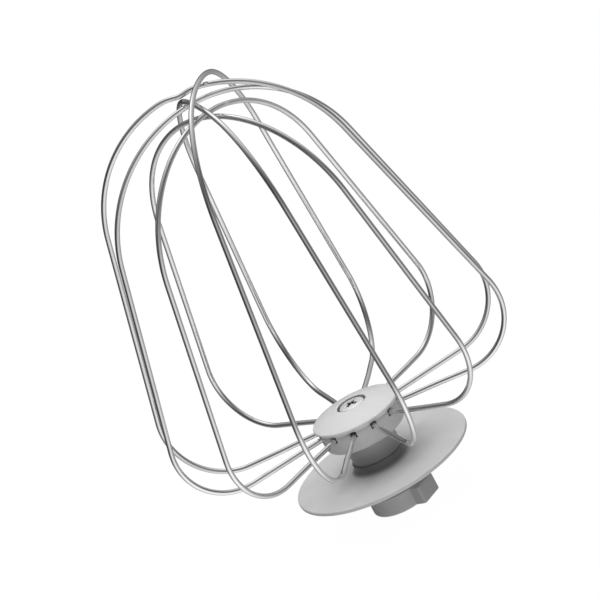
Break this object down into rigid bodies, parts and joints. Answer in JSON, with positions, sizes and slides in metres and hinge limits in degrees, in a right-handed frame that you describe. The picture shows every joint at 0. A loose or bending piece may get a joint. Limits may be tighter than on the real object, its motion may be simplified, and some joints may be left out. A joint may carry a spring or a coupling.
{
  "type": "mixer whisk attachment",
  "caption": "Balloon whisk attachment for a stand mixer: looped steel wires clamped in a plastic hub above a splash disc and a lugged drive coupling.",
  "frame": {"origin": "centre of the drive socket's mouth, at the end face of the coupling", "axes": "+Z along the whisk's axis from the drive coupling to the tip of the wire cage; +X along the first wire loop, 3.5 degrees from the driving lug"},
  "size_m": [0.1324, 0.1318, 0.182],
  "materials": {
    "cap_plastic": "fine satin moulded surface",
    "carrier_plastic": "fine satin moulded surface",
    "disc_plastic": "fine satin moulded surface",
    "coupling_plastic": "satin moulded surface",
    "wire_steel": "drawn and polished stainless wire",
    "screw_steel": "turned and polished",
    "sleeve_steel": "turned bore",
    "insert_brass": "knurled",
    "seal_rubber": "moulded rubber"
  },
  "bodies": {
    "root": {"hub_cap": "cap_plastic", "clamp_screw": "screw_steel", "head_washer": "screw_steel", "wire_carrier": "carrier_plastic", "wire_loop_1": "wire_steel", "wire_loop_2": "wire_steel", "wire_loop_3": "wire_steel", "wire_loop_4": "wire_steel", "wire_loop_5": "wire_steel", "wire_loop_6": "wire_steel", "splash_disc": "disc_plastic", "seal_ring": "seal_rubber", "threaded_insert": "insert_brass", "drive_coupling": "coupling_plastic", "drive_sleeve": "sleeve_steel"}
  },
  "joints": []
}
